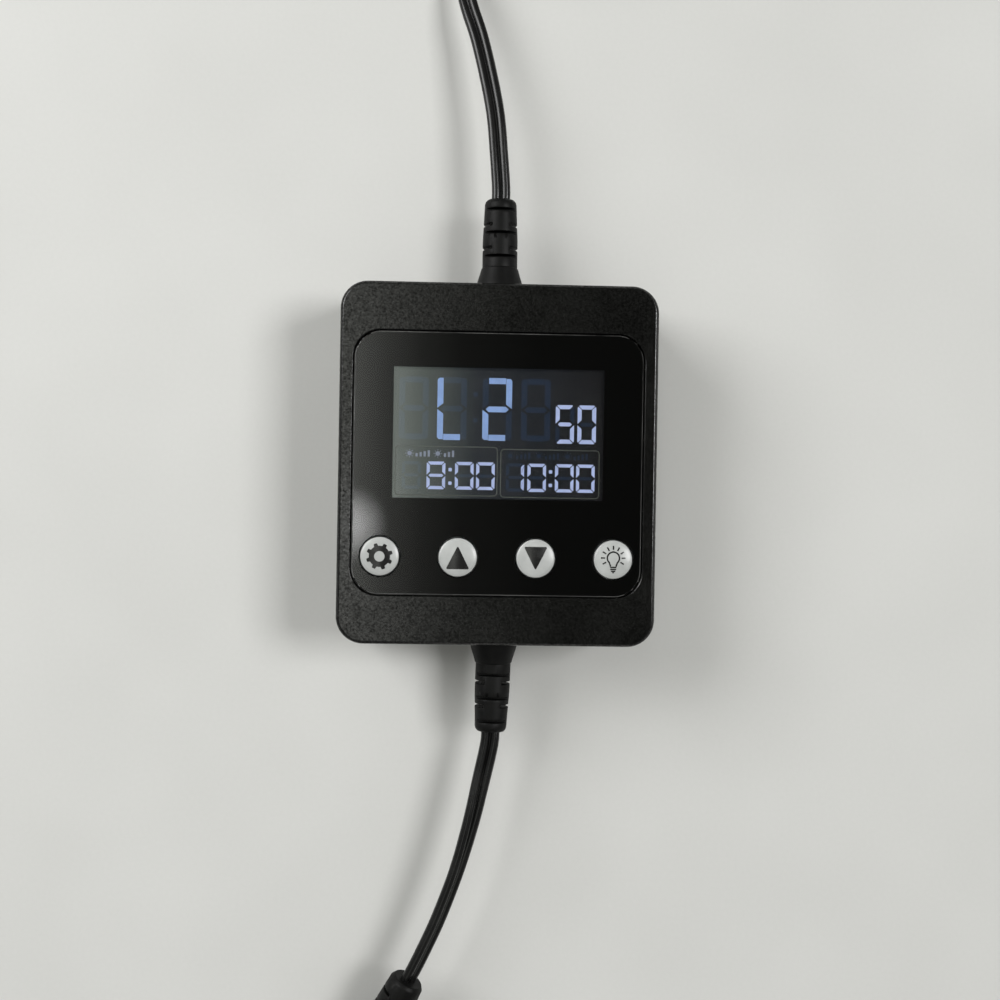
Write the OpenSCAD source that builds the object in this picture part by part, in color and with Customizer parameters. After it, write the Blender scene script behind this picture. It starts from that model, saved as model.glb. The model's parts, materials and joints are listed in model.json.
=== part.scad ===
// In-line aquarium light controller: a clock and dimmer box with a display,
// four push buttons, a power inlet lead and a lamp lead, all in millimetres.
// Origin: middle of the housing's back face. +Z out of the front, +Y to the lamp lead.

/* [Housing] */
// Housing width across the front
case_w = 56; // [46:0.5:70]
// Housing height from inlet end to lamp end
case_h = 63.6; // [53:0.1:78]
// Housing thickness from back to front
case_t = 20; // [16.6:0.1:25]
// Corner radius seen from the front
corner_r = 4.8; // [4:0.1:6]
// Wall thickness
wall = 2; // [1.6:0.1:2.4]
// Chamfer around the front and back edges
edge = 0.5; // [0.2:0.1:0.8]

/* [Front panel] */
// Housing border left and right of the panel
panel_side = 2.65; // [2.2:0.05:4]
// Housing border above and below the panel
panel_end = 8.8; // [7.2:0.1:10.6]
// Panel corner radius
panel_r = 4.6; // [3:0.1:5.5]
// Panel thickness
panel_t = 0.8; // [0.5:0.1:1]
// Gap around the panel in its pocket
panel_gap = 0.3; // [0.1:0.05:0.4]
// Display window width as a share of the panel width
window_share_x = 0.73; // [0.6:0.01:0.76]
// Display window height as a share of the panel height
window_share_y = 0.5; // [0.4:0.01:0.52]
// Display centre above the panel's middle, as a share of its height
window_lift = 0.117; // [0.1:0.001:0.12]

/* [Buttons] */
// Button cap diameter
button_d = 6.75; // [5.6:0.05:8.1]
// Distance between buttons as a share of the panel width
pitch_share = 0.269; // [0.24:0.001:0.28]
// Button row below the panel's middle, as a share of its height
drop_share = 0.3565; // [0.35:0.0005:0.37]
// Height of a cap's crown above the housing front
button_rise = 0.75; // [0.3:0.05:1.2]
// Gap around a cap in its hole
cap_gap = 0.2; // [0.1:0.05:0.3]
// How far a button presses
press_travel = 0.3; // [0.2:0.05:0.4]

/* [Leads] */
// Width of the flat twin lead
cord_w = 3.4; // [2.8:0.1:4.1]
// Thickness of the flat twin lead
cord_t = 1.7; // [1.4:0.05:2.05]
// Length of a strain relief outside the housing
relief_len = 16.7; // [14:0.1:20]
// Strain relief diameter after its flare
relief_d = 6.4; // [5.3:0.1:7.7]
// Middle radius of the lamp lead's coil
coil_r = 19; // [17:0.5:20.5]

/* [Connectors] */
// Lamp plug barrel diameter
barrel_d = 5.5; // [4.6:0.1:6.6]
// Length of the plug barrel in front of its grip
barrel_len = 9.5; // [8:0.1:11.4]
// Bore in the middle of the lamp plug
plug_bore_d = 2.1; // [1.8:0.05:2.5]
// Lamp plug grip diameter
plug_grip_d = 9.6; // [8.5:0.1:11.5]
// Power socket grip diameter
socket_grip_d = 10.4; // [10:0.1:12.5]
// Centre pin diameter in the power socket
pin_d = 2; // [1.7:0.05:2.4]

/* [Hidden] */
$fn = 64;
eps = 0.01;
slip = 0.02; // gap between pieces that are pushed together

// heights, front to back
panel_sink = 0.15;
print_t = 0.08;
glue_t = 0.12;
face_t = 1.35;
pocket_z = case_t - panel_sink - panel_t - print_t - glue_t;
ceiling_z = pocket_z - face_t;
polariser_t = 0.2;
glass_t = 0.7;
guide_t = 2.6;
reflector_t = 0.2;
lcd_top = ceiling_z - 0.15;
glass_front_z = lcd_top - polariser_t - glass_t;
glass_rear_z = glass_front_z - glass_t;
rear_film_z = glass_rear_z - polariser_t;
guide_z = rear_film_z - guide_t;
reflector_z = guide_z - reflector_t;
board_t = 1.6;
board_top = ceiling_z - 5.5;
board_z = board_top - board_t;
back_space = board_z - wall;
split_z = case_t / 2;
lip_h = 1.5;
lip_gap = 0.1;

// panel, window and button row
panel_w = case_w - 2 * panel_side;
panel_h = case_h - 2 * panel_end;
window_w = panel_w * window_share_x;
window_h = panel_h * window_share_y;
window_y = panel_h * window_lift;
pitch = panel_w * pitch_share;
button_y = -panel_h * drop_share;
button_x = [-1.5 * pitch, -0.5 * pitch, 0.5 * pitch, 1.5 * pitch];

// display module
glass_over = 0.9;
glass_w = window_w + 2 * glass_over;
glass_h = window_h + 2 * glass_over;
ledge = 1.2;
holder_wall = 0.8;
holder_gap = 0.15;
holder_w = glass_w + 2 * (holder_wall + holder_gap);
holder_h = glass_h + 2 * (holder_wall + holder_gap);
led_bay = 1.8;
pin_pitch = 1.5;
pin_count = 20;

// screws, posts and board
post_r = 3;
post_in = wall + post_r - 0.2;
post_x = case_w / 2 - post_in;
post_y = case_h / 2 - post_in;
screw_r = 1.1;
screw_head_r = 2;
screw_head_t = 1.4;
screw_seat = split_z / 2;
screw_len = case_t / 2;
board_w = case_w - 2 * (wall + 0.5);
board_h = case_h - 2 * (post_in + post_r + 0.8);
boss_r = 2.1;
boss_x = board_w / 2 - 2.3;
boss_y = board_h / 2 - 2.3;
board_screws_at = [[-boss_x, boss_y], [boss_x, boss_y], [0, -boss_y]];
board_screw_r = 0.85;

// switches under the buttons
switch_w = 6;
switch_h = 3.5;
switch_top = board_top + switch_h;
cover_t = 0.3;
plunger_r = 1.7;
plunger_gap = 0.05;
plunger_h = 1.75;
flange_z = switch_top + 0.6;
flange_top = ceiling_z - 0.2;
flange_r = button_d / 2 + 0.72;
dome_t = 0.1;
crown_h = 0.45;

// strain reliefs and wires
neck_w = 6;
collar_t = 1.6;
neck_gap = 0.05;
relief_base_r = relief_d / 2 + 1.35;
wire_r = 0.75;
wire_x = 0.85;
pad_x = 5.5;

// connector lengths
grip_front = 32;
barrel_back = 8;
socket_front = 35.4;
socket_deep = 11.4;
sleeve_r = barrel_d / 2 + 0.1;
sleeve_t = 0.3;
insulator_r = sleeve_r + sleeve_t + 0.85;
rim = 0.4;
collar = 0.3; // step that anchors a contact in its moulding

// lamp lead: x, distance past its strain relief, share of its height
lead_y = case_h / 2 + relief_len;
coil_lift = 0.35;
out_floor = coil_lift + cord_w / 2;
out_route = [
    [0, 0, 1], [0, 2.5, 1], [-0.5, 8.8, 0.99], [-1.2, 15.9, 0.94], [-2.6, 23.2, 0.84],
    [-4.4, 30.7, 0.7], [-6.2, 36.3, 0.57], [-8, 43, 0.36], [-9.6, 49.3, 0.14],
    [-11.1, 55.3, 0.02], [-12.35, 61.5, 0], [-12.95, 67.5, 0]
];
out_twist = [0, 0, 2, 4, 6, 8, 14, 40, 70, 90, 90, 90];
out_drop = split_z - out_floor;
out_path = [for (p = out_route) [p[0], lead_y + p[1], out_floor + out_drop * p[2]]];

// coil, then the lead's tail over it to the plug: x, y, share on the coil, share at the plug
coil_x = 7.8;
coil_y = lead_y + 66.5;
coil_band = 3 * (cord_t + 0.05);
tail_over = coil_lift + cord_w * 1.5 + 0.05;
tail_lies = cord_t / 2 + 0.05;
tail_ends = plug_grip_d / 2;
tail_route = [
    [-16, 6, 1, 0], [-14.2, 12.2, 1, 0], [-12.2, 18.2, 1, 0], [-10.2, 24.4, 0.62, 0],
    [-8.6, 30.4, 0.28, 0], [-7.4, 36, 0.1, 0], [-6.6, 41.5, 0, 0.05], [-6.1, 46.5, 0, 0.4],
    [-5.8, 50.9, 0, 0.82], [-5.6, 54.9, 0, 1], [-5.45, 58, 0, 1]
];
tail_twist = [90, 90, 90, 80, 50, 25, 5, 0, 0, 0, 0];
tail_path = [for (p = tail_route) [coil_x + p[0], coil_y + p[1],
    tail_lies + (tail_over - tail_lies) * p[2] + (tail_ends - tail_lies) * p[3]]];
plug_turn = 87.2;
plug_at = tail_path[len(tail_path) - 1];

// inlet lead: the relief leans a little and the socket tips down onto its front rim
lean = 1.5;
tip = 7;
in_x = -sin(lean) * relief_len * 0.75;
in_y = -case_h / 2 - relief_len * (0.25 + 0.75 * cos(lean));
in_route = [
    [0, 0, 1], [-0.15, 2.5, 1], [-1.45, 8.7, 1.15], [-3.35, 17.2, 1.5], [-5.75, 25.7, 1.6],
    [-8.85, 34.2, 1.3], [-11.35, 39.9, 0.95], [-13.1, 43.6, 0.55], [-14.27, 45.9, 0]
];
in_twist = [0, 0, 12, 32, 44, 45, 45, 45, 45];
in_floor = socket_grip_d / 2 * cos(tip) + (socket_front - rim) * sin(tip);
in_drop = split_z - in_floor;
in_path = [for (p = in_route) [in_x + p[0], in_y - p[1], in_floor + in_drop * p[2]]];
socket_turn = -117;
socket_at = in_path[len(in_path) - 1];

plastic = [0.1, 0.1, 0.1];
metal = [0.75, 0.75, 0.77];

// ---------- shared shapes ----------

module block(x, y, z0, w, d, h) {
    translate([x - w / 2, y - d / 2, z0]) cube([w, d, h]);
}

module rod(x, y, z0, r, h) {
    translate([x, y, z0]) cylinder(r = r, h = h);
}

module rounded(w, h, r) {
    square([w - 2 * r, h], center = true);
    square([w, h - 2 * r], center = true);
    for (x = [-1, 1]) {
        for (y = [-1, 1]) {
            translate([x * (w / 2 - r), y * (h / 2 - r)]) circle(r = r);
        }
    }
}

module slab(w, h, r, z0, t) {
    translate([0, 0, z0]) linear_extrude(t) rounded(w, h, r);
}

// half of the housing's outside, chamfered along its lower edge
module shell_half(t) {
    side = [[0, 0], [corner_r - edge, 0], [corner_r, edge], [corner_r, t], [0, t]];
    x = case_w / 2 - corner_r;
    y = case_h / 2 - corner_r;
    block(0, 0, 0, 2 * x, 2 * y, t);
    for (k = [0 : 3]) {
        sx = (k == 0 || k == 3) ? x : -x;
        sy = k < 2 ? y : -y;
        translate([sx, sy, 0]) rotate([0, 0, 90 * k]) rotate_extrude(angle = 90) polygon(side);
    }
    for (s = [0, 180]) {
        rotate([0, 0, s]) {
            translate([x, y, 0]) rotate([90, 0, 0]) linear_extrude(2 * y) polygon(side);
            translate([-x, y, 0]) rotate([90, 0, 90]) linear_extrude(2 * x) polygon(side);
        }
    }
}

function unit(v) = v / norm(v);
function heading(p, i) =
    i == 0 ? unit(p[1] - p[0])
    : i == len(p) - 1 ? unit(p[i] - p[i - 1])
    : unit(unit(p[i + 1] - p[i]) + unit(p[i] - p[i - 1]));
function flat_section(w, t) = [
    [w / 2, -t * 0.2], [w / 2, t * 0.2], [w * 0.37, t / 2], [-w * 0.37, t / 2],
    [-w / 2, t * 0.2], [-w / 2, -t * 0.2], [-w * 0.37, -t / 2], [w * 0.37, -t / 2]
];
function round_section(r) = [for (k = [0 : 7]) [r * cos(45 * k + 22.5), r * sin(45 * k + 22.5)]];

// a closed tube along a path; up is a direction that the path never follows
module sweep(path, section, twist, up) {
    n = len(section);
    last = len(path) - 1;
    points = [for (i = [0 : last]) let (
        t = heading(path, i),
        s = unit(cross(t, up)),
        u = cross(s, t),
        c = cos(twist[i]),
        d = sin(twist[i])
    ) for (q = section) path[i] + s * (q[0] * c - q[1] * d) + u * (q[0] * d + q[1] * c)];
    sides = [for (i = [0 : last - 1]) for (j = [0 : n - 1]) let (
        a = i * n + j,
        b = i * n + (j + 1) % n
    ) each [[a, b, b + n], [a, b + n, a + n]]];
    start_cap = [[for (j = [n - 1 : -1 : 0]) j]];
    end_cap = [[for (j = [0 : n - 1]) last * n + j]];
    polyhedron(points = points, faces = concat(sides, start_cap, end_cap));
}

module lead(path, twist) {
    color(plastic) sweep(path, flat_section(cord_w, cord_t), twist, [0, 0, 1]);
}

module screw(r, head_r, head_t, length) {
    difference() {
        union() {
            cylinder(r = r, h = length);
            translate([0, 0, -head_t]) cylinder(r = head_r, h = head_t);
        }
        block(0, 0, -head_t - 1, head_r * 1.1, r * 0.35, head_t * 0.6 + 1);
        block(0, 0, -head_t - 1, r * 0.35, head_r * 1.1, head_t * 0.6 + 1);
    }
}

// ---------- housing ----------

module neck_cuts() {
    for (s = [-1, 1]) {
        block(0, s * (case_h / 2 - wall / 2), split_z - neck_w / 2 - neck_gap,
            neck_w + 2 * neck_gap, wall + 4, neck_w + 2 * neck_gap);
    }
}

module posts(z0, h) {
    for (x = [-post_x, post_x]) {
        for (y = [-post_y, post_y]) rod(x, y, z0, post_r, h);
    }
}

module post_bores(r, z0, h) {
    for (x = [-post_x, post_x]) {
        for (y = [-post_y, post_y]) rod(x, y, z0, r, h);
    }
}

module front_cover() {
    rebate = wall / 2 - lip_gap / 2;
    inside = wall + lip_gap;
    color(plastic) difference() {
        union() {
            difference() {
                translate([0, 0, case_t]) mirror([0, 0, 1]) shell_half(case_t - split_z);
                slab(case_w - 2 * wall, case_h - 2 * wall, corner_r - wall,
                    split_z - 1, ceiling_z - split_z + 1);
            }
            posts(split_z, ceiling_z - split_z + eps);
            for (p = board_screws_at) {
                rod(p[0], p[1], board_top, boss_r, ceiling_z - board_top + eps);
            }
        }
        difference() {
            slab(case_w - 2 * rebate, case_h - 2 * rebate, corner_r - rebate,
                split_z - 1, lip_h + lip_gap + 1);
            slab(case_w - 2 * inside, case_h - 2 * inside, corner_r - inside,
                split_z - 2, lip_h + lip_gap + 4);
        }
        slab(panel_w + 2 * panel_gap, panel_h + 2 * panel_gap, panel_r + panel_gap,
            pocket_z, 3);
        block(0, window_y, ceiling_z - 1, window_w + 1, window_h + 1, 6);
        for (x = button_x) {
            rod(x, button_y, ceiling_z - 1, button_d / 2 + cap_gap, 6);
        }
        post_bores(screw_r + slip, split_z - 1, screw_len - split_z + screw_seat + 2);
        for (p = board_screws_at) {
            rod(p[0], p[1], board_top - 1, board_screw_r + slip, 5.5);
        }
        neck_cuts();
    }
}

module back_cover() {
    lip_in = wall / 2 + lip_gap / 2;
    color(plastic) difference() {
        union() {
            difference() {
                union() {
                    shell_half(split_z);
                    slab(case_w - 2 * lip_in, case_h - 2 * lip_in, corner_r - lip_in,
                        split_z - 1, lip_h + 1);
                }
                slab(case_w - 2 * wall, case_h - 2 * wall, corner_r - wall, wall, case_t);
            }
            posts(wall - eps, split_z - wall + eps);
        }
        post_bores(screw_head_r + 0.2, -1, screw_seat + 1);
        post_bores(screw_r + 0.2, 0, split_z + 1);
        slab(case_w * 0.6, case_h * 0.45, 1.5, -1, 1.2);
        neck_cuts();
    }
}

module case_screws() {
    color(metal) for (x = [-post_x, post_x]) {
        for (y = [-post_y, post_y]) {
            translate([x, y, screw_seat]) screw(screw_r, screw_head_r, screw_head_t, screw_len);
        }
    }
}

// ---------- front panel ----------

module panel_layer(z0, t) {
    difference() {
        slab(panel_w, panel_h, panel_r, z0, t);
        for (x = button_x) {
            rod(x, button_y, z0 - 1, button_d / 2 + cap_gap, t + 2);
        }
    }
}

module front_panel() {
    color([0.05, 0.05, 0.05, 0.8]) panel_layer(pocket_z + glue_t + print_t, panel_t);
}

module panel_print() {
    color([0.02, 0.02, 0.02]) difference() {
        panel_layer(pocket_z + glue_t, print_t);
        block(0, window_y, pocket_z, window_w, window_h, 1);
    }
}

module panel_adhesive() {
    color([0.3, 0.3, 0.3]) difference() {
        panel_layer(pocket_z, glue_t);
        block(0, window_y, pocket_z - 1, window_w + 1, window_h + 1, 2);
    }
}

// ---------- buttons and switches ----------

module cap(k) {
    top = case_t + button_rise;
    r = button_d / 2;
    ball = (r * r + crown_h * crown_h) / (2 * crown_h);
    color([0.75, 0.76, 0.77]) {
        intersection() {
            rod(button_x[k], button_y, flange_top - eps, r, top - flange_top + eps);
            translate([button_x[k], button_y, top - ball]) sphere(r = ball, $fn = 128);
        }
        rod(button_x[k], button_y, flange_z, flange_r, flange_top - flange_z);
    }
}

module plunger(k) {
    color([0.15, 0.15, 0.15]) rod(button_x[k], button_y, flange_z - plunger_h, plunger_r, plunger_h);
}

module set_button_cap() {
    cap(0);
}

module up_button_cap() {
    cap(1);
}

module down_button_cap() {
    cap(2);
}

module light_button_cap() {
    cap(3);
}

module set_plunger() {
    plunger(0);
}

module up_plunger() {
    plunger(1);
}

module down_plunger() {
    plunger(2);
}

module light_plunger() {
    plunger(3);
}

well_z = flange_z - plunger_h - press_travel - 0.05 - dome_t;

module switch_bodies() {
    color([0.1, 0.1, 0.1]) for (x = button_x) {
        difference() {
            block(x, button_y, board_top + 0.1, switch_w, switch_w, switch_h - cover_t - 0.1);
            rod(x, button_y, well_z, plunger_r + plunger_gap, 5);
        }
    }
}

module switch_covers() {
    color(metal) for (x = button_x) {
        difference() {
            block(x, button_y, switch_top - cover_t, switch_w, switch_w, cover_t);
            rod(x, button_y, switch_top - 1, plunger_r + plunger_gap, 2);
        }
    }
}

module switch_domes() {
    color(metal) for (x = button_x) rod(x, button_y, well_z, plunger_r - 0.1, dome_t);
}

module switch_terminals() {
    color(metal) for (x = button_x) {
        for (s = [-1, 1]) {
            for (y = [-2.25, 2.25]) {
                block(x + s * (switch_w / 2 - 0.35), button_y + y, board_top, 1.3, 0.7, 0.1);
            }
        }
    }
}

// ---------- display ----------

module lcd_plate(w, h, z0, t) {
    block(0, window_y, z0, w, h, t);
}

module lcd_polariser_front() {
    color([0.1, 0.1, 0.12]) lcd_plate(glass_w - 0.8, glass_h - 0.8, lcd_top - polariser_t, polariser_t);
}

module lcd_glass_front() {
    color([0.5, 0.6, 0.6, 0.5]) lcd_plate(glass_w, glass_h, glass_front_z, glass_t);
}

module lcd_glass_rear() {
    color([0.5, 0.6, 0.6, 0.5])
        translate([0, -ledge / 2, 0]) lcd_plate(glass_w, glass_h + ledge, glass_rear_z, glass_t);
}

module lcd_polariser_rear() {
    color([0.1, 0.1, 0.12]) lcd_plate(glass_w - 0.8, glass_h - 0.8, rear_film_z, polariser_t);
}

module lcd_light_guide() {
    color([0.9, 0.95, 1, 0.6])
        translate([led_bay / 2, 0, 0]) lcd_plate(glass_w - led_bay, glass_h - 0.4, guide_z, guide_t);
}

module lcd_reflector() {
    color([0.95, 0.95, 0.95]) lcd_plate(glass_w, glass_h, reflector_z, reflector_t);
}

module lcd_leds() {
    color([1, 1, 0.85]) for (k = [-1, 0, 1]) {
        block(-glass_w / 2 + led_bay / 2, window_y + k * glass_h * 0.3, guide_z, 1.2, 3, 1.6);
    }
}

module lcd_holder() {
    color([0.9, 0.9, 0.88]) difference() {
        block(0, window_y, board_top, holder_w, holder_h, lcd_top - board_top);
        block(0, window_y, reflector_z, glass_w + 2 * holder_gap, glass_h + 2 * holder_gap, 6);
        block(0, window_y - holder_h / 2, rear_film_z - 0.1, holder_w + 1, 4, 6);
    }
}

module lcd_pins() {
    y0 = window_y - glass_h / 2 - ledge - 0.35;
    step = min(pin_pitch, glass_w * 0.94 / pin_count);
    color(metal) for (k = [0 : pin_count - 1]) {
        x = (k - (pin_count - 1) / 2) * step;
        block(x, y0, board_top, 0.45, 0.3, glass_front_z + 0.3 - board_top);
        block(x, y0 + 0.4, glass_front_z, 0.45, 0.9, 0.3);
    }
}

// ---------- circuit board ----------

module main_board() {
    color([0.05, 0.35, 0.15]) difference() {
        block(0, 0, board_z, board_w, board_h, board_t);
        for (p = board_screws_at) rod(p[0], p[1], board_z - 1, board_screw_r + 0.2, 4);
    }
}

module board_screws() {
    color(metal) for (p = board_screws_at) {
        translate([p[0], p[1], board_z]) screw(board_screw_r, 1.7, 1.1, 5.6);
    }
}

module under(x, y, w, d, h) {
    block(x * board_w, y * board_h, board_z - h, w, d, h);
}

module microcontroller() {
    color([0.12, 0.12, 0.12]) {
        block(-0.18 * board_w, 0.08 * board_h, board_z - 1.5, 10, 10, 1.4);
        block(-0.18 * board_w, 0.08 * board_h, board_z - 0.3, 8.6, 11.6, 0.3);
        block(-0.18 * board_w, 0.08 * board_h, board_z - 0.3, 11.6, 8.6, 0.3);
    }
}

module clock_cell() {
    color(metal) rod(0.24 * board_w, 0.18 * board_h, board_z - 2.8, 6.25, 2);
}

module cell_holder() {
    color([0.15, 0.15, 0.15]) difference() {
        under(0.24, 0.18, 15, 14.4, 3.4);
        rod(0.24 * board_w, 0.18 * board_h, board_z - 2.8, 6.3, 2);
        rod(0.24 * board_w, 0.18 * board_h, board_z - 4, 5, 2);
    }
}

module clock_crystal() {
    color(metal) translate([-0.36 * board_w, 0.3 * board_h, board_z - 1.05])
        rotate([0, 90, 0]) cylinder(r = 1.05, h = 6);
}

module input_capacitor() {
    x = -0.34 * board_w;
    y = -0.27 * board_h;
    color([0.2, 0.2, 0.25]) {
        block(x, y, board_z - 0.9, 6.6, 6.6, 0.9);
        rod(x, y, board_z - 0.68 * back_space, 3.15, 0.68 * back_space - 0.9 + eps);
    }
}

module power_inductor() {
    color([0.2, 0.2, 0.2]) {
        under(0.38, -0.12, 7, 7, 0.45 * back_space);
    }
}

module dimmer_mosfets() {
    color([0.1, 0.1, 0.1]) for (x = [0.18, 0.35]) under(x, -0.34, 6.6, 6.1, 2.3);
}

module voltage_regulator() {
    color([0.1, 0.1, 0.1]) under(0, -0.17, 4.5, 3.9, 1.5);
}

module input_diode() {
    color([0.1, 0.1, 0.1]) under(-0.16, -0.34, 4.3, 2.6, 2.2);
}

module chip_resistors() {
    resistor_y = boss_y + 0.2 - wire_r - 0.8 - 0.1;
    color([0.1, 0.1, 0.1]) {
        for (x = [-0.1, -0.36], k = [0 : 4])
            block((x + 0.045 * k) * board_w, resistor_y, board_z - 0.45, 0.8, 1.6, 0.45);
    }
}

module chip_capacitors() {
    color([0.7, 0.6, 0.45]) {
        for (k = [0 : 2]) under(-0.42, 0.02 + 0.07 * k, 1.6, 0.8, 0.8);
        for (k = [0 : 2]) under(0.055, -0.08 + 0.07 * k, 1.6, 0.8, 0.8);
    }
}

// ---------- leads ----------

// sx picks the wire's side, sy the end of the housing
module wire(sx, sy) {
    y0 = case_h / 2 - wall - collar_t - neck_gap;
    y1 = boss_y + 0.2;
    run = y0 - y1;
    path = [
        [sx * wire_x, sy * y0, split_z],
        [sx * wire_x, sy * (y0 - 0.9), split_z],
        [sx * 2.3, sy * (y0 - run * 0.42), split_z - 0.7],
        [sx * 4.3, sy * (y0 - run * 0.72), min(split_z, board_z) - 1.7],
        [sx * (pad_x - 0.2), sy * (y1 + run * 0.1), min(split_z, board_z) - 1.9],
        [sx * pad_x, sy * y1, board_z - 1.1],
        [sx * pad_x, sy * y1, board_z]
    ];
    sweep(path, round_section(wire_r), [for (p = path) 0], [1, 0, 0]);
}

module input_wire_positive() {
    color([0.7, 0.05, 0.05]) wire(1, -1);
}

module input_wire_negative() {
    color([0.08, 0.08, 0.08]) wire(-1, -1);
}

module output_wire_positive() {
    color([0.7, 0.05, 0.05]) wire(1, 1);
}

module output_wire_negative() {
    color([0.08, 0.08, 0.08]) wire(-1, 1);
}

// strain relief standing on the wall's outside, pointing along +Z, its ribbed end turned by a
module relief(a) {
    r = relief_d / 2;
    n = relief_len;
    knee = n * 0.25;
    color(plastic) {
        rotate_extrude() polygon([
            [0, neck_gap], [relief_base_r, neck_gap], [r + 0.9, n * 0.1],
            [r + 0.42, n * 0.19], [r + 0.15, knee], [0, knee]
        ]);
        block(0, 0, -wall - neck_gap, neck_w, neck_w, wall + 2 * neck_gap + eps);
        rod(0, 0, -wall - neck_gap - collar_t, neck_w / 2 + 1.4, collar_t);
        translate([0, 0, knee]) rotate([0, a, 0]) translate([0, 0, -knee]) difference() {
            rotate_extrude() polygon([
                [0, knee - 0.5], [r, knee - 0.5], [r, n * 0.55],
                [r - 0.3, n - 0.8], [r - 0.42, n - 0.38], [r - 0.75, n], [0, n]
            ]);
            for (z = [n * 0.37, n * 0.625, n * 0.88]) {
                for (s = [-1, 1]) block(0, s * (1.45 + 2), z - 0.24, 8, 4, 0.48);
            }
            for (z = [n * 0.46, n * 0.715]) {
                for (s = [-1, 1]) block(s * (1.5 + 2), 0, z - 0.26, 4, 8, 0.52);
            }
        }
    }
}

module output_relief() {
    translate([0, case_h / 2, split_z]) rotate([-90, 0, 0]) relief(0);
}

module input_relief() {
    translate([0, -case_h / 2, split_z]) rotate([90, 0, 0]) relief(-lean);
}

module input_lead() {
    lead(in_path, in_twist);
}

module output_lead() {
    lead(out_path, out_twist);
}

module output_lead_coil() {
    color(plastic) translate([coil_x, coil_y, coil_lift]) rotate_extrude()
        translate([coil_r - coil_band / 2, 0]) square([coil_band, cord_w]);
}

module output_lead_tail() {
    lead(tail_path, tail_twist);
}

module coil_tie() {
    t = 0.9;
    strap = coil_lift - 0.05;
    band = coil_band + 0.6;
    top = coil_lift + cord_w + 0.05;
    color([0.12, 0.12, 0.12]) translate([coil_x, coil_y, 0]) rotate([0, 0, -35])
        translate([coil_r, 0, 0]) difference() {
            union() {
                block(0, 0, 0, band + 2 * t, 2.5, top + t);
                block(band / 2 + t + 0.6, 0, 0.3, 2.6, 4.2, 3.6);
            }
            block(0, 0, strap, band, 6, top - strap);
        }
}

// ---------- connectors, each along +Z from its cord end ----------

module tail_slots(step) {
    for (k = [1 : 3]) {
        for (s = [-1, 1]) {
            block(0, s * (1.9 + 2), k * step, 12, 4, 0.5);
            if (k < 3) block(s * (2.3 + 2), 0, (k + 0.5) * step, 4, 12, 0.5);
        }
    }
}

module on_plug() {
    translate(plug_at) rotate([0, 90, plug_turn]) children();
}

module on_socket() {
    translate(socket_at) rotate([0, 90 + tip, socket_turn]) children();
}

module output_plug_grip() {
    r = plug_grip_d / 2;
    color(plastic) on_plug() difference() {
        rotate_extrude() polygon([
            [0, 0], [2.4, 0], [2.8, 0.6], [3.4, 11], [r - 0.6, 12.8], [r, 14.4],
            [r, grip_front - 0.6], [r - 0.6, grip_front], [0, grip_front]
        ]);
        tail_slots(2.9);
        rod(0, 0, grip_front - barrel_back, barrel_d / 2 + collar + slip, 20);
    }
}

module output_plug_barrel() {
    r = barrel_d / 2;
    color(metal) on_plug() difference() {
        union() {
            rod(0, 0, grip_front - barrel_back, r + collar, barrel_back);
            rod(0, 0, grip_front - eps, r, barrel_len + eps);
        }
        rod(0, 0, grip_front - barrel_back - 1, r - 0.4, 40);
    }
}

module output_plug_insulator() {
    color([0.1, 0.1, 0.1]) on_plug() difference() {
        rod(0, 0, grip_front - barrel_back, barrel_d / 2 - 0.4 - slip, barrel_back + barrel_len - 0.3);
        rod(0, 0, grip_front - barrel_back - 1, plug_bore_d / 2 + 0.4 + slip, 40);
    }
}

module output_plug_contact() {
    color(metal) on_plug() difference() {
        rod(0, 0, grip_front - barrel_back, plug_bore_d / 2 + 0.4, barrel_back + barrel_len - 0.6);
        rod(0, 0, grip_front - barrel_back + 4, plug_bore_d / 2, 40);
    }
}

module input_socket_grip() {
    r = socket_grip_d / 2;
    color(plastic) on_socket() difference() {
        rotate_extrude() polygon([
            [0, 0], [2.7, 0], [3.2, 0.8], [3.8, 11], [r - 0.6, 13], [r, 15],
            [r, socket_front - rim], [r - rim, socket_front], [0, socket_front]
        ]);
        tail_slots(2.9);
        rod(0, 0, socket_front - socket_deep, insulator_r + slip, 20);
        rod(0, 0, socket_front - socket_deep - 2, pin_d / 2 + collar + slip, 20);
    }
}

module input_socket_insulator() {
    color([0.1, 0.1, 0.1]) on_socket() difference() {
        rod(0, 0, socket_front - socket_deep, insulator_r, socket_deep - 0.2);
        rod(0, 0, socket_front - socket_deep + 1, sleeve_r + sleeve_t + slip, 20);
        rod(0, 0, socket_front - socket_deep - 1, pin_d / 2 + collar + slip, 20);
    }
}

module input_socket_sleeve() {
    color(metal) on_socket() difference() {
        rod(0, 0, socket_front - socket_deep + 1, sleeve_r + sleeve_t, socket_deep - 1.8);
        rod(0, 0, socket_front - socket_deep, sleeve_r, 20);
    }
}

module input_socket_pin() {
    floor_z = socket_front - socket_deep + 1;
    color(metal) on_socket() {
        rod(0, 0, floor_z - 3, pin_d / 2 + collar, 3);
        rod(0, 0, floor_z - eps, pin_d / 2, socket_deep - 3 + eps);
    }
}

// ---------- output ----------

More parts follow.
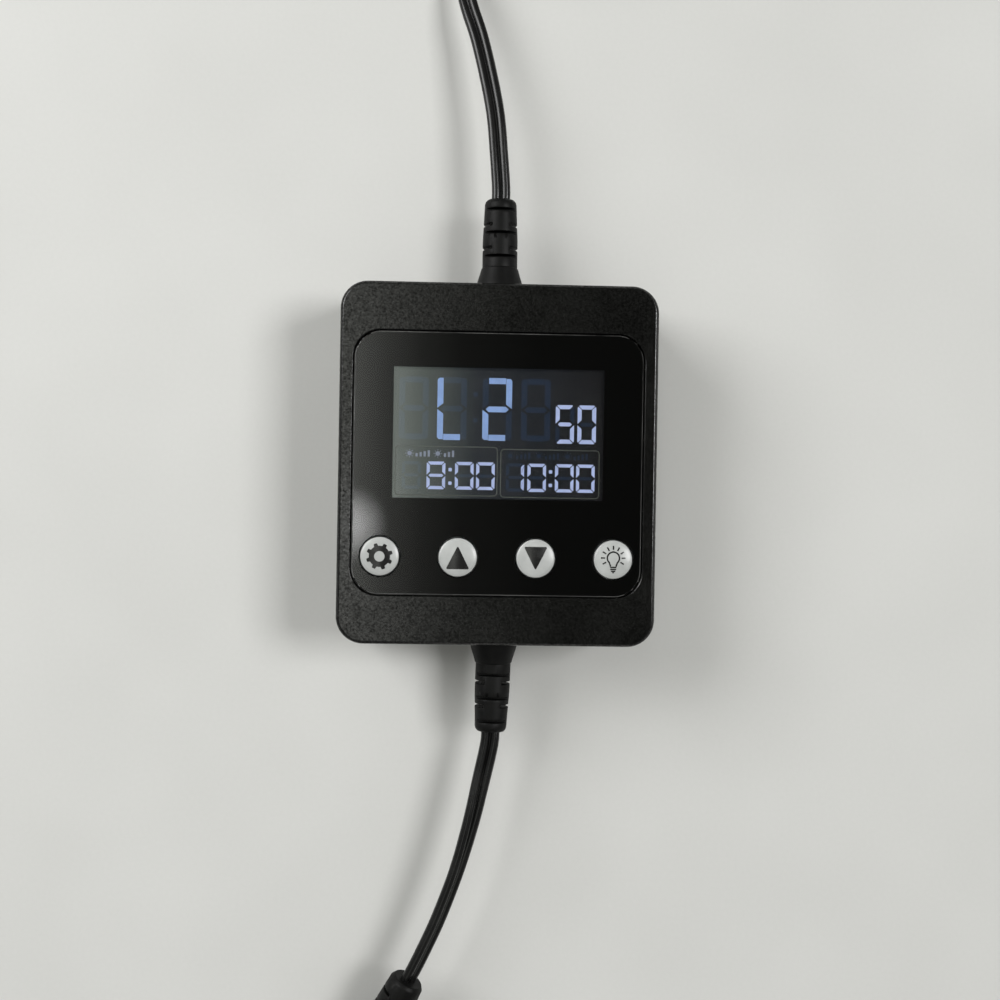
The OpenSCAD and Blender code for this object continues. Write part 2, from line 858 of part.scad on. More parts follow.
front_cover();
back_cover();
case_screws();
front_panel();
panel_print();
panel_adhesive();
set_button_cap();
up_button_cap();
down_button_cap();
light_button_cap();
set_plunger();
up_plunger();
down_plunger();
light_plunger();
switch_bodies();
switch_covers();
switch_domes();
switch_terminals();
lcd_polariser_front();
lcd_glass_front();
lcd_glass_rear();
lcd_polariser_rear();
lcd_light_guide();
lcd_reflector();
lcd_leds();
lcd_holder();
lcd_pins();
main_board();
board_screws();
microcontroller();
clock_cell();
cell_holder();
clock_crystal();
input_capacitor();
power_inductor();
dimmer_mosfets();
voltage_regulator();
input_diode();
chip_resistors();
chip_capacitors();
input_wire_positive();
input_wire_negative();
output_wire_positive();
output_wire_negative();
input_relief();
output_relief();
input_lead();
output_lead();
output_lead_coil();
output_lead_tail();
coil_tie();
output_plug_grip();
output_plug_barrel();
output_plug_insulator();
output_plug_contact();
input_socket_grip();
input_socket_insulator();
input_socket_sleeve();
input_socket_pin();
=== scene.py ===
"""In-line aquarium light controller: finishes, cords, display and studio."""
import bpy
import json
import math
from mathutils import Matrix, Vector


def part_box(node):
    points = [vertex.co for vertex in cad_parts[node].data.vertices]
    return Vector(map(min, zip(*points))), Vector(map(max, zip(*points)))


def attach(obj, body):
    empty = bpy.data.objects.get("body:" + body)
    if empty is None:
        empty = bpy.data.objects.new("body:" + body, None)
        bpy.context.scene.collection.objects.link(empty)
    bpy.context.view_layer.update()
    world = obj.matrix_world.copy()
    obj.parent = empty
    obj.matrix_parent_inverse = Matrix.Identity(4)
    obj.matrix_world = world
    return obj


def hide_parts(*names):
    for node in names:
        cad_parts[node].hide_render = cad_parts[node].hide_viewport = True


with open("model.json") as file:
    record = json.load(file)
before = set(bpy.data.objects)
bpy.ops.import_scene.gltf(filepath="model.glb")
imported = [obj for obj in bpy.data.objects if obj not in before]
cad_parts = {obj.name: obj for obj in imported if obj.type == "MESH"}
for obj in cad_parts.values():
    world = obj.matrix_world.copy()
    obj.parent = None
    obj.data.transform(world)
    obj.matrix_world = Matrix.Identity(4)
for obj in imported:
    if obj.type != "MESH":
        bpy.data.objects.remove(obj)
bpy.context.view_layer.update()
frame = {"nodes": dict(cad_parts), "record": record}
nodes = frame["nodes"]
scene = bpy.context.scene
MM = 0.001


# ---------- camera and view ----------

def place_camera():
    lens = bpy.data.cameras.new("camera")
    lens.lens = 45
    lens.sensor_width = 36
    lens.clip_start = 0.005
    camera = bpy.data.objects.new("camera", lens)
    camera.location = Vector((-6.643, -6.065, 238.964)) * MM
    camera.rotation_euler = (-0.0013548, -0.0322781, 0.0166475)
    scene.collection.objects.link(camera)
    scene.camera = camera
    scene.view_settings.view_transform = "Standard"


place_camera()


# ---------- small tools ----------

def only(piece):
    """Select this one piece."""
    bpy.ops.object.select_all(action="DESELECT")
    bpy.context.view_layer.objects.active = piece
    piece.select_set(True)


def apply_all(piece):
    only(piece)
    for step in list(piece.modifiers):
        bpy.ops.object.modifier_apply(modifier=step.name)


def settle(piece):
    """Put the object at the origin with its place in its mesh."""
    bpy.context.view_layer.update()
    piece.data.transform(piece.matrix_world)
    piece.matrix_world = Matrix.Identity(4)


def copy_of(piece, name):
    twin = bpy.data.objects.new(name, piece.data.copy())
    scene.collection.objects.link(twin)
    return twin


def merge(pieces, name):
    """Join several pieces into one."""
    bpy.ops.object.select_all(action="DESELECT")
    for piece in pieces:
        piece.select_set(True)
    bpy.context.view_layer.objects.active = pieces[0]
    bpy.ops.object.join()
    whole = bpy.context.view_layer.objects.active
    whole.name = name
    settle(whole)
    return whole


def finish_with(piece, surface, body="case"):
    piece.data.materials.clear()
    piece.data.materials.append(surface)
    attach(piece, body)
    return piece


# ---------- shared surface effects ----------

def group_socket(group, name, kind, side, value=None):
    made = group.interface.new_socket(name=name, in_out=side, socket_type=kind)
    if value is not None:
        made.default_value = value


def build_fine_grain():
    """Moulded grain: a height for the bump and a shade that varies a little."""
    group = bpy.data.node_groups.new("fine grain", "ShaderNodeTree")
    group_socket(group, "Grain Size", "NodeSocketFloat", "INPUT", 0.00025)
    group_socket(group, "Patch Size", "NodeSocketFloat", "INPUT", 0.006)
    group_socket(group, "Height", "NodeSocketFloat", "OUTPUT")
    group_socket(group, "Shade", "NodeSocketFloat", "OUTPUT")
    n, wire = group.nodes, group.links.new
    inlet, outlet = n.new("NodeGroupInput"), n.new("NodeGroupOutput")
    place = n.new("ShaderNodeTexCoord")
    heights = []
    for socket, kind in (("Grain Size", "grain"), ("Patch Size", "patch")):
        scale = n.new("ShaderNodeMath")
        scale.operation = "DIVIDE"
        scale.inputs[0].default_value = 1
        wire(inlet.outputs[socket], scale.inputs[1])
        noise = n.new("ShaderNodeTexNoise")
        noise.inputs["Detail"].default_value = 3 if kind == "grain" else 2
        noise.inputs["Roughness"].default_value = 0.6
        wire(place.outputs["Object"], noise.inputs["Vector"])
        wire(scale.outputs[0], noise.inputs["Scale"])
        heights.append(noise.outputs["Fac"])
    wire(heights[0], outlet.inputs["Height"])
    shade = n.new("ShaderNodeMath")
    shade.operation = "MULTIPLY_ADD"
    shade.inputs[1].default_value = 0.35
    wire(heights[0], shade.inputs[0])
    wire(heights[1], shade.inputs[2])
    wire(shade.outputs[0], outlet.inputs["Shade"])
    return group


FINE_GRAIN = build_fine_grain()
SMOOTHEST = 0.02
GRAIN_TOPS = (0.32, 0.7)


def map_range(n, low, high, to_low=0, to_high=1):
    """A node that carries the span low to high over to the span to_low to to_high."""
    made = n.new("ShaderNodeMapRange")
    for socket, value in (("From Min", low), ("From Max", high),
                          ("To Min", to_low), ("To Max", to_high)):
        made.inputs[socket].default_value = value
    return made


def fill_ramp(ramp, stops):
    """Give a colour ramp its stops, each a place from 0 to 1 and a colour."""
    elements = ramp.color_ramp.elements
    while len(elements) < len(stops):
        elements.new(0.5)
    for element, (place, colour) in zip(elements, stops):
        element.position = place
        element.color = (*colour, 1)


def surface(name, dark, light, rough, grain=0.00025, patch=0.006, depth=0.00001,
            strength=0.5, metallic=0, coat=0, coat_rough=0.1, rough_swing=0.05, sheen=0.5,
            glint=0):
    """A moulded, painted or plated finish: two shades, a roughness and a grain. A glint
    above nothing makes the tops of the grain glossier than its pits."""
    made = bpy.data.materials.new(name)
    made.use_nodes = True
    n, wire = made.node_tree.nodes, made.node_tree.links.new
    body = n["Principled BSDF"]
    body.inputs["Metallic"].default_value = metallic
    body.inputs["Specular IOR Level"].default_value = sheen
    body.inputs["Coat Weight"].default_value = coat
    body.inputs["Coat Roughness"].default_value = coat_rough
    grains = n.new("ShaderNodeGroup")
    grains.node_tree = FINE_GRAIN
    grains.inputs["Grain Size"].default_value = grain
    grains.inputs["Patch Size"].default_value = patch
    tone = map_range(n, 0.45, 0.9)
    wire(grains.outputs["Shade"], tone.inputs["Value"])
    colour = n.new("ShaderNodeMix")
    colour.data_type = "RGBA"
    colour.inputs[6].default_value = (*dark, 1)
    colour.inputs[7].default_value = (*light, 1)
    wire(tone.outputs["Result"], colour.inputs["Factor"])
    wire(colour.outputs[2], body.inputs["Base Color"])
    gloss = map_range(n, 0, 1, max(SMOOTHEST, rough - rough_swing), rough + rough_swing)
    wire(tone.outputs["Result"], gloss.inputs["Value"])
    wire(gloss.outputs["Result"], body.inputs["Roughness"])
    if glint:
        tops = map_range(n, *GRAIN_TOPS, 0, glint)
        wire(grains.outputs["Height"], tops.inputs["Value"])
        wire(tops.outputs["Result"], body.inputs["Coat Weight"])
    bump = n.new("ShaderNodeBump")
    bump.inputs["Distance"].default_value = depth
    bump.inputs["Strength"].default_value = strength
    wire(grains.outputs["Height"], bump.inputs["Height"])
    wire(bump.outputs["Normal"], body.inputs["Normal"])
    return made


def clear_sheet(name, tint, rough, index=1.49):
    """A clear polished sheet."""
    made = surface(name, tint, tint, rough, grain=0.004, patch=0.02, depth=0.000002,
                   strength=0.01, rough_swing=0.004)
    body = made.node_tree.nodes["Principled BSDF"]
    body.inputs["Transmission Weight"].default_value = 1
    body.inputs["IOR"].default_value = index
    return made


UNLIT_FILM = (0.02, 0.025, 0.03)


def lit(name, colour):
    """A display segment that the backlight shines through, a little unevenly."""
    made = surface(name, UNLIT_FILM, UNLIT_FILM, 0.4, grain=0.0004, patch=0.003,
                   depth=0.000002)
    n, wire = made.node_tree.nodes, made.node_tree.links.new
    body = n["Principled BSDF"]
    body.inputs["Emission Strength"].default_value = 1
    grains = next(x for x in n if x.type == "GROUP")
    level = map_range(n, 0.4, 0.95, 0.82, 1.08)
    wire(grains.outputs["Shade"], level.inputs["Value"])
    tint = n.new("ShaderNodeVectorMath")
    tint.operation = "SCALE"
    tint.inputs[0].default_value = colour
    wire(level.outputs["Result"], tint.inputs["Scale"])
    wire(tint.outputs["Vector"], body.inputs["Emission Color"])
    return made


WINDOW_REACH = 0.019
# painted reflection: emission colours across the film, greenish grey at its left end and fading
# out to the right
PAINTED_REFLECTION_RAMP = [(0, (0.075, 0.092, 0.082)), (0.12, (0.045, 0.058, 0.052)),
                  (0.4, (0.002, 0.005, 0.01)), (1, (0.001, 0.001, 0.002))]


def film_with_painted_reflection(name, more=(0, 0, 0)):
    """A dark film of the display with a painted reflection: an emission at its left end stands in
    for the room light that its face mirrors there.
    """
    made = surface(name, (0.004, 0.004, 0.0045), (0.006, 0.006, 0.007), 0.2,
                   0.0006, 0.005, 0.000001, 0.1)
    n, wire = made.node_tree.nodes, made.node_tree.links.new
    place = n.new("ShaderNodeTexCoord")
    axes = n.new("ShaderNodeSeparateXYZ")
    wire(place.outputs["Object"], axes.inputs[0])
    across = map_range(n, -WINDOW_REACH, WINDOW_REACH)
    wire(axes.outputs["X"], across.inputs["Value"])
    ramp = n.new("ShaderNodeValToRGB")
    wire(across.outputs["Result"], ramp.inputs["Fac"])
    fill_ramp(ramp, [(x, [c + m for c, m in zip(colour, more)])
                     for x, colour in PAINTED_REFLECTION_RAMP])
    body = n["Principled BSDF"]
    wire(ramp.outputs["Color"], body.inputs["Emission Color"])
    body.inputs["Emission Strength"].default_value = 1
    return made


def srgb(r, g, b):
    def one(v):
        v = v / 255
        return v / 12.92 if v <= 0.04045 else ((v + 0.055) / 1.055) ** 2.4
    return one(r), one(g), one(b)


FINISH = {
    "housing_plastic": surface("eroded black housing", (0.0008, 0.0008, 0.0006),
                               (0.0028, 0.0028, 0.0024), 0.2, 0.00036, 0.009, 0.00002, 0.7,
                               coat_rough=0.16, sheen=0.16, glint=1.3),
    "panel_acrylic": clear_sheet("polished acrylic panel", (0.97, 0.97, 0.97), 0.012),
    "panel_ink": surface("black back print", (0.0015, 0.0017, 0.0015), (0.003, 0.0033, 0.003),
                         0.4, depth=0.0000005, strength=0.1, sheen=0.15),
    "adhesive_film": surface("adhesive film", (0.03, 0.03, 0.03), (0.05, 0.05, 0.05), 0.5),
    "button_plastic": surface("light grey button", srgb(164, 166, 164), srgb(178, 180, 178), 0.36,
                              0.0006, 0.004, 0.000003, 0.2, coat=0.25, coat_rough=0.2),
    "switch_plastic": surface("switch plastic", (0.02, 0.02, 0.02), (0.035, 0.035, 0.035), 0.45),
    "steel": surface("bright steel", (0.5, 0.5, 0.5), (0.62, 0.62, 0.62), 0.28, metallic=1),
    "screw_steel": surface("zinc plated screw", (0.42, 0.42, 0.43), (0.6, 0.6, 0.6), 0.34,
                           0.0003, 0.002, 0.000006, 0.4, metallic=1),
    # the polariser carries a painted reflection at its left end
    "polariser_film": film_with_painted_reflection("dark polariser"),
    "lcd_glass": clear_sheet("display glass", (0.9, 0.95, 0.93), 0.01, 1.52),
    "light_guide": clear_sheet("light guide", (0.93, 0.95, 0.97), 0.15),
    "white_film": surface("white reflector film", (0.75, 0.76, 0.76), (0.85, 0.85, 0.85), 0.5),
    "led_white": surface("white lamp package", (0.7, 0.7, 0.62), (0.8, 0.8, 0.7), 0.4),
    "white_plastic": surface("white moulded frame", (0.68, 0.68, 0.66), (0.78, 0.78, 0.76), 0.45),
    "board_green": surface("green solder mask", (0.012, 0.09, 0.03), (0.02, 0.14, 0.045), 0.3,
                           0.0004, 0.006, 0.000004, 0.3, coat=0.4),
    "chip_black": surface("black chip epoxy", (0.012, 0.012, 0.012), (0.022, 0.022, 0.022), 0.55),
    "can_aluminium": surface("drawn can", (0.6, 0.6, 0.6), (0.72, 0.72, 0.72), 0.3, metallic=1),
    "chip_ceramic": surface("fired ceramic", (0.25, 0.2, 0.14), (0.34, 0.28, 0.2), 0.5),
    "wire_red": surface("red insulation", (0.4, 0.01, 0.01), (0.55, 0.02, 0.02), 0.35),
    "wire_black": surface("black insulation", (0.01, 0.01, 0.01), (0.02, 0.02, 0.02), 0.35),
    "lead_pvc": surface("black lead jacket", (0.0015, 0.0015, 0.0015), (0.004, 0.004, 0.0037),
                        0.26, 0.0007, 0.006, 0.000006, 0.3, sheen=0.4),
    "relief_pvc": surface("soft black moulding", (0.0015, 0.0015, 0.0014),
                          (0.004, 0.004, 0.0037), 0.5, 0.0004, 0.004, 0.000012, 0.5,
                          sheen=0.16),
    "tie_nylon": surface("black tie", (0.008, 0.008, 0.008), (0.014, 0.014, 0.014), 0.4),
    "nickel": surface("nickel plate", (0.62, 0.6, 0.56), (0.74, 0.72, 0.68), 0.2, 0.0004, 0.003,
                      0.000002, 0.2, metallic=1),
    "insulator_plastic": surface("black insulator", (0.012, 0.012, 0.012),
                                 (0.02, 0.02, 0.02), 0.35),
}

SLOT_OF = {part["node"]: part["material_slot"] for part in frame["record"]["subparts"]}


def dress_cad_nodes():
    for name, piece in nodes.items():
        piece.data.materials.clear()
        piece.data.materials.append(FINISH[SLOT_OF[name]])


dress_cad_nodes()


# ---------- CAD pieces with rounded edges ----------

def soften(node, name, width, body="case", sharp=32, segments=2):
    """A copy of a CAD piece whose edges are rounded a little, as a mould leaves them."""
    piece = copy_of(nodes[node], name)
    only(piece)
    bpy.ops.object.mode_set(mode="EDIT")
    bpy.ops.mesh.select_all(action="SELECT")
    bpy.ops.mesh.remove_doubles(threshold=0.000002)
    bpy.ops.mesh.dissolve_limited(angle_limit=math.radians(0.5))
    bpy.ops.object.mode_set(mode="OBJECT")
    edge = piece.modifiers.new("edge", "BEVEL")
    edge.width = width * MM
    edge.segments = segments
    edge.limit_method = "ANGLE"
    edge.angle_limit = math.radians(sharp)
    edge.use_clamp_overlap = False
    edge.miter_outer = "MITER_ARC"
    flat = piece.modifiers.new("flat", "WEIGHTED_NORMAL")
    flat.keep_sharp = True
    bpy.ops.object.shade_smooth_by_angle(angle=math.radians(40))
    apply_all(piece)
    finish_with(piece, FINISH[SLOT_OF[node]], body)
    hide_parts(node)
    return piece


PANEL_RIM, PANEL_CORNER = 0.0004, 0.0016


def paint_highlight_on_panel_edge(sheet):
    """The panel's bevelled edge gets a paler finish than its face: a painted highlight for the
    line of light that the edge catches.
    """
    # painted highlight: the sloping edge and corner faces are made paler than the face
    sheet.data.materials.append(
        surface("panel edge with painted highlight", (0.01, 0.01, 0.01), (0.16, 0.16, 0.155), 0.4, 0.0012, 0.012))
    low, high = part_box("front_panel")
    for face in sheet.data.polygons:
        x, y = face.center[:2]
        from_side = min(x - low[0], high[0] - x)
        from_end = min(y - low[1], high[1] - y)
        outside = min(from_side, from_end) < PANEL_RIM
        corner = max(from_side, from_end) < PANEL_CORNER
        if 0.15 < face.normal.z < 0.97 and (outside or corner):
            face.material_index = 1


def round_the_edges():
    soften("front_cover", "cover_front_shell", 0.12)
    soften("back_cover", "cover_back_shell", 0.12)
    # the panel's edge gets a painted highlight
    paint_highlight_on_panel_edge(soften("front_panel", "panel_sheet", 0.12))
    soften("input_relief", "relief_inlet", 0.1)
    soften("output_relief", "relief_lamp", 0.1)
    soften("case_screws", "screws_of_case", 0.06)
    soften("coil_tie", "tie_of_coil", 0.1)
    soften("output_plug_grip", "plug_grip", 0.12)
    soften("output_plug_barrel", "plug_barrel", 0.08)
    soften("output_plug_insulator", "plug_insulator", 0.06)
    soften("output_plug_contact", "plug_contact", 0.05)
    soften("input_socket_grip", "socket_grip", 0.12)
    soften("input_socket_insulator", "socket_insulator", 0.06)
    soften("input_socket_sleeve", "socket_sleeve", 0.05)
    soften("input_socket_pin", "socket_pin", 0.08)
    for key in ("set", "up", "down", "light"):
        soften(f"{key}_button_cap", f"{key}_cap", 0.12, f"{key}_button", 25)


round_the_edges()


# ---------- the two leads ----------

LEAD_W, LEAD_T, LEAD_WEB, RING_SPACING = 3.4, 1.7, 0.3, 0.85


def spline(points, spacing):
    """Catmull-Rom through the points; each is x, y, z and twist."""
    pts = [Vector(p) for p in points]
    pts = [pts[0] * 2 - pts[1]] + pts + [pts[-1] * 2 - pts[-2]]
    made = []
    for a, b, c, d in zip(pts, pts[1:], pts[2:], pts[3:]):
        count = max(1, round((c.xyz - b.xyz).length / spacing))
        for k in range(count):
            t = k / count
            made.append(0.5 * (2 * b + (c - a) * t + (2 * a - 5 * b + 4 * c - d) * t * t
                               + (3 * b - a - 3 * c + d) * t ** 3))
    return made + [pts[-2]]


def twin_section(cord_w, cord_t, web, steps=14):
    """Two round strands side by side with a web between them."""
    r, cx = cord_t / 2, cord_w / 2 - cord_t / 2
    start = math.atan2(web, -cx * 0.94)
    side = [(cx + r * math.cos(start - 2 * start * k / (steps - 1)),
             r * math.sin(start - 2 * start * k / (steps - 1))) for k in range(steps)]
    return side + [(-x, -y) for x, y in side]


def twin_lead(name, points, replaced):
    """A flat twin lead swept along its route, all in millimetres."""
    route = spline(points, RING_SPACING)
    outline = twin_section(LEAD_W, LEAD_T, LEAD_WEB)
    verts, faces = [], []
    for k, p in enumerate(route):
        before, after = route[max(k - 1, 0)], route[min(k + 1, len(route) - 1)]
        heading = (after.xyz - before.xyz).normalized()
        side = heading.cross(Vector((0, 0, 1))).normalized()
        up = side.cross(heading)
        turn = math.radians(p[3])
        for x, y in outline:
            verts.append((p.xyz + side * (x * math.cos(turn) - y * math.sin(turn))
                          + up * (x * math.sin(turn) + y * math.cos(turn))) * MM)
    n = len(outline)
    for k in range(len(route) - 1):
        for j in range(n):
            a, b = k * n + j, k * n + (j + 1) % n
            faces.append((a, b, b + n, a + n))
    faces.append(tuple(range(n)))
    faces.append(tuple(len(verts) - 1 - j for j in range(n)))
    mesh = bpy.data.meshes.new(name)
    mesh.from_pydata(verts, [], faces)
    lead = bpy.data.objects.new(name, mesh)
    scene.collection.objects.link(lead)
    only(lead)
    bpy.ops.object.mode_set(mode="EDIT")
    bpy.ops.mesh.select_all(action="SELECT")
    bpy.ops.mesh.normals_make_consistent(inside=False)
    bpy.ops.object.mode_set(mode="OBJECT")
    bpy.ops.object.shade_smooth_by_angle(angle=math.radians(50))
    finish_with(lead, FINISH["lead_pvc"])
    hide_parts(*replaced)
    path = [p.xyz * MM for p in route]
    length = sum((b - a).length for a, b in zip(path, path[1:]))
    return lead, path, length


def lamp_route():
    """Out of the lamp end, down to the surface, three turns of coil, over them to the plug."""
    lead_y, floor_z, top_z = 48.5, 2.05, 10
    out = [(0, 0, 1, 0), (0, 2.5, 1, 0), (-0.5, 8.8, 0.99, 2), (-1.2, 15.9, 0.94, 4),
           (-2.6, 23.2, 0.84, 6), (-4.4, 30.7, 0.7, 8), (-6.2, 36.3, 0.57, 14),
           (-8, 43, 0.36, 40), (-9.6, 49.3, 0.14, 70), (-11.1, 55.3, 0.02, 88)]
    route = [(x, lead_y + dy, floor_z + (top_z - floor_z) * share, twist)
             for x, dy, share, twist in out]
    coil_x, coil_y = 7.8, 115.0
    coil_turns, steps = 3, 22
    crossing, crossing_span, crossing_lift = 2.68, 0.32, 3.45
    for k in range(coil_turns * steps + 1):
        turns = k / steps
        angle = math.radians(200 - 360 * turns)
        r = 20.9 - 1.72 * turns + 0.25 * math.exp(-turns * 4)
        z = floor_z
        if turns > crossing:
            climb = (turns - crossing) / crossing_span
            z += crossing_lift * climb * climb * (3 - 2 * climb)
        route.append((coil_x + r * math.cos(angle), coil_y + r * math.sin(angle), z, 90))
    route.append((coil_x + 16.3 * math.cos(math.radians(179)),
                  coil_y + 16.3 * math.sin(math.radians(179)), 5.5, 90))
    tail = [(-16, 6, 1, 0, 90), (-14.2, 12.2, 1, 0, 90), (-12.2, 18.2, 1, 0, 90),
            (-10.2, 24.4, 0.62, 0, 80), (-8.6, 30.4, 0.28, 0, 50), (-7.4, 36, 0.1, 0, 25),
            (-6.6, 41.5, 0, 0.05, 5), (-6.1, 46.5, 0, 0.4, 0), (-5.8, 50.9, 0, 0.82, 0),
            (-5.6, 54.9, 0, 1, 0), (-5.45, 58, 0, 1, 0)]
    for x, y, on_coil, at_plug, twist in tail:
        route.append((coil_x + x, coil_y + y, 0.9 + 4.6 * on_coil + 3.9 * at_plug, twist))
    return route


def inlet_route():
    """Out of the power end, sagging a little, to the socket's tail."""
    in_x, in_y, floor_z, drop = -0.328, -48.496, 9.4266, 0.5734
    route = [(0, 0, 1, 0), (-0.15, 2.5, 1, 0), (-1.45, 8.7, 1.15, 12), (-3.35, 17.2, 1.5, 32),
             (-5.75, 25.7, 1.6, 44), (-8.85, 34.2, 1.3, 45), (-11.35, 39.9, 0.95, 45),
             (-13.1, 43.6, 0.55, 45), (-14.27, 45.9, 0, 45)]
    return [(in_x + x, in_y - y, floor_z + drop * share, twist) for x, y, share, twist in route]


def lay_the_leads():
    lamp, path, length = twin_lead("lead_to_lamp", lamp_route(),
                                   ["output_lead", "output_lead_coil", "output_lead_tail"])
    inlet, path, length = twin_lead("lead_to_socket", inlet_route(), ["input_lead"])


lay_the_leads()


# ---------- the display ----------

FIGURE_THICK = 0.02
GLASS_TOP = 17.352
WINDOW_LEFT, WINDOW_TOP = 18.505, 16.882


def flat_plate(name, w, h):
    """A flat rectangle, centred, ready to be shaped."""
    bpy.ops.object.select_all(action="DESELECT")
    bpy.ops.mesh.primitive_plane_add(size=1)
    plate = bpy.context.object
    plate.name = name
    bpy.ops.object.mode_set(mode="EDIT")
    bpy.ops.transform.resize(value=(w * MM, h * MM, 1))
    bpy.ops.object.mode_set(mode="OBJECT")
    return plate


def pick(piece, mode, test):
    """In object mode, select just the points or faces that pass a test in millimetres."""
    bpy.context.tool_settings.mesh_select_mode = (mode == "points", False, mode == "faces")
    mesh = piece.data
    for part in (*mesh.vertices, *mesh.edges, *mesh.polygons):
        part.select = False
    for part in mesh.vertices if mode == "points" else mesh.polygons:
        at = (part.co if mode == "points" else part.center) / MM
        part.select = bool(test(at))


def raise_up(piece, thickness):
    """Give a flat piece its thickness, upwards."""
    only(piece)
    bpy.ops.object.mode_set(mode="EDIT")
    bpy.ops.mesh.select_all(action="SELECT")
    bpy.ops.mesh.extrude_region_move(
        TRANSFORM_OT_translate={"value": (0, 0, thickness * MM)})
    bpy.ops.mesh.select_all(action="SELECT")
    bpy.ops.mesh.normals_make_consistent(inside=False)
    bpy.ops.object.mode_set(mode="OBJECT")
    return piece


def segment(length, stroke, kind, ends=(-1, 1)):
    """One segment along X. A middle one is pointed, a level one is square, an upright one
    slants where it meets the middle, and the others are mitred inwards. The outer corners
    are cut off at the given ends."""
    if kind == "middle":
        bar = flat_plate("segment", length - stroke, stroke)
        for end in (-1, 1):
            pick(bar, "points", lambda p: p.x * end > 0)
            bpy.ops.object.mode_set(mode="EDIT")
            bpy.ops.mesh.extrude_region_move(
                TRANSFORM_OT_translate={"value": (end * stroke * 0.5 * MM, 0, 0)})
            bpy.ops.transform.resize(value=(1, 0.02, 1))
            bpy.ops.object.mode_set(mode="OBJECT")
    elif kind == "level":
        bar = flat_plate("segment", length, stroke)
    else:
        bar = flat_plate("segment", length, stroke)
        inner = -ends[0]
        if kind == "upright":
            pick(bar, "points", lambda p: p.y < 0 and p.x * inner > 0)
            bpy.ops.object.mode_set(mode="EDIT")
            bpy.ops.transform.translate(value=(-inner * 0.75 * stroke * MM, 0, 0))
        else:
            pick(bar, "points", lambda p: p.y < 0)
            bpy.ops.object.mode_set(mode="EDIT")
            bpy.ops.transform.resize(value=((length - 1.9 * stroke) / length, 1, 1))
        bpy.ops.object.mode_set(mode="OBJECT")
        pick(bar, "points", lambda p: p.y > 0 and (p.x > 0) - (p.x < 0) in ends)
        bpy.ops.object.mode_set(mode="EDIT")
        bpy.ops.mesh.bevel(offset=stroke * 0.32 * MM, segments=1, affect="VERTICES")
        bpy.ops.object.mode_set(mode="OBJECT")
    return raise_up(bar, FIGURE_THICK)


SHAPES = {"0": "abcdef", "1": "bc", "2": "abged", "5": "afgcd", "8": "abcdefg", "L": "def",
          " ": ""}
SPLIT = 0.12


def digit(u, v, w, h, stroke, sign, on, off):
    """A seven segment figure with its upper left corner at u, v; lit parts go in on."""
    half = h / 2
    if stroke > 1:
        level = segment(w - 2 * stroke - SPLIT, stroke, "level")
        side = "upright"
    else:
        level = segment(w - 2 * SPLIT, stroke, "outer")
        side = "outer"
    rising = segment(half - 2 * SPLIT, stroke, side, (1,))
    falling = segment(half - 2 * SPLIT, stroke, side, (-1,))
    bridge = segment(w - stroke - SPLIT, stroke * 0.95, "middle")
    s = stroke / 2
    places = {"a": (level, w / 2, s, 0), "d": (level, w / 2, h - s, 180),
              "f": (rising, s, half / 2, 90), "e": (falling, s, h - half / 2, 90),
              "b": (falling, w - s, half / 2, -90), "c": (rising, w - s, h - half / 2, -90),
              "g": (bridge, w / 2, half, 0)}
    for letter, (master, x, y, turn) in places.items():
        part = copy_of(master, "segment")
        part.matrix_world = (Matrix.Translation(at_window(u + x, v + y))
                             @ Matrix.Rotation(math.radians(turn), 4, "Z"))
        settle(part)
        (on if letter in SHAPES[sign] else off).append(part)
    for master in (level, rising, falling, bridge):
        bpy.data.objects.remove(master)


def at_window(u, v, z=GLASS_TOP):
    """A place on the display from the window's upper left corner, in metres."""
    return Vector((u - WINDOW_LEFT, WINDOW_TOP - v, z)) * MM


def colon(u, v_list, size, on):
    for v in v_list:
        dot = flat_plate("dot", size, size)
        only(dot)
        bpy.ops.object.mode_set(mode="EDIT")
        bpy.ops.mesh.select_all(action="SELECT")
        bpy.ops.mesh.bevel(offset=size * 0.2 * MM, segments=2, affect="VERTICES")
        bpy.ops.object.mode_set(mode="OBJECT")
        raise_up(dot, FIGURE_THICK)
        dot.location = at_window(u, v)
        settle(dot)
        on.append(dot)


def rounded_box(u0, v0, u1, v1, r, line):
    """A thin rounded outline."""
    box = flat_plate("outline", u1 - u0, v1 - v0)
    only(box)
    bpy.ops.object.mode_set(mode="EDIT")
    bpy.ops.mesh.select_all(action="SELECT")
    bpy.ops.mesh.bevel(offset=r * MM, segments=5, affect="VERTICES")
    bpy.ops.mesh.select_all(action="SELECT")
    bpy.ops.mesh.inset(thickness=line * MM)
    bpy.ops.mesh.delete(type="FACE")
    bpy.ops.object.mode_set(mode="OBJECT")
    raise_up(box, FIGURE_THICK)
    box.location = at_window((u0 + u1) / 2, (v0 + v1) / 2)
    settle(box)
    return box


def small_sign(u, v, size, bars, out):
    """A generic sign: a sun and a short row of bars of rising height."""
    bpy.ops.object.select_all(action="DESELECT")
    bpy.ops.mesh.primitive_circle_add(vertices=16, radius=size * 0.36 * MM, fill_type="NGON")
    disc = raise_up(bpy.context.object, FIGURE_THICK)
    disc.location = at_window(u + size / 2, v)
    settle(disc)
    out.append(disc)
    for k in range(8):
        ray = raise_up(flat_plate("ray", size * 0.2, size * 0.1), FIGURE_THICK)
        ray.matrix_world = (Matrix.Translation(at_window(u + size / 2, v))
                            @ Matrix.Rotation(k * math.pi / 4, 4, "Z")
                            @ Matrix.Translation((size * 0.56 * MM, 0, 0)))
        settle(ray)
        out.append(ray)
    for k in range(bars):
        h = size * (0.35 + 0.65 * (k + 1) / bars)
        bar = raise_up(flat_plate("bar", size * 0.34, h), FIGURE_THICK)
        bar.location = at_window(u + size * 1.6 + k * size * 0.62, v + size / 2 - h / 2)
        settle(bar)
        out.append(bar)


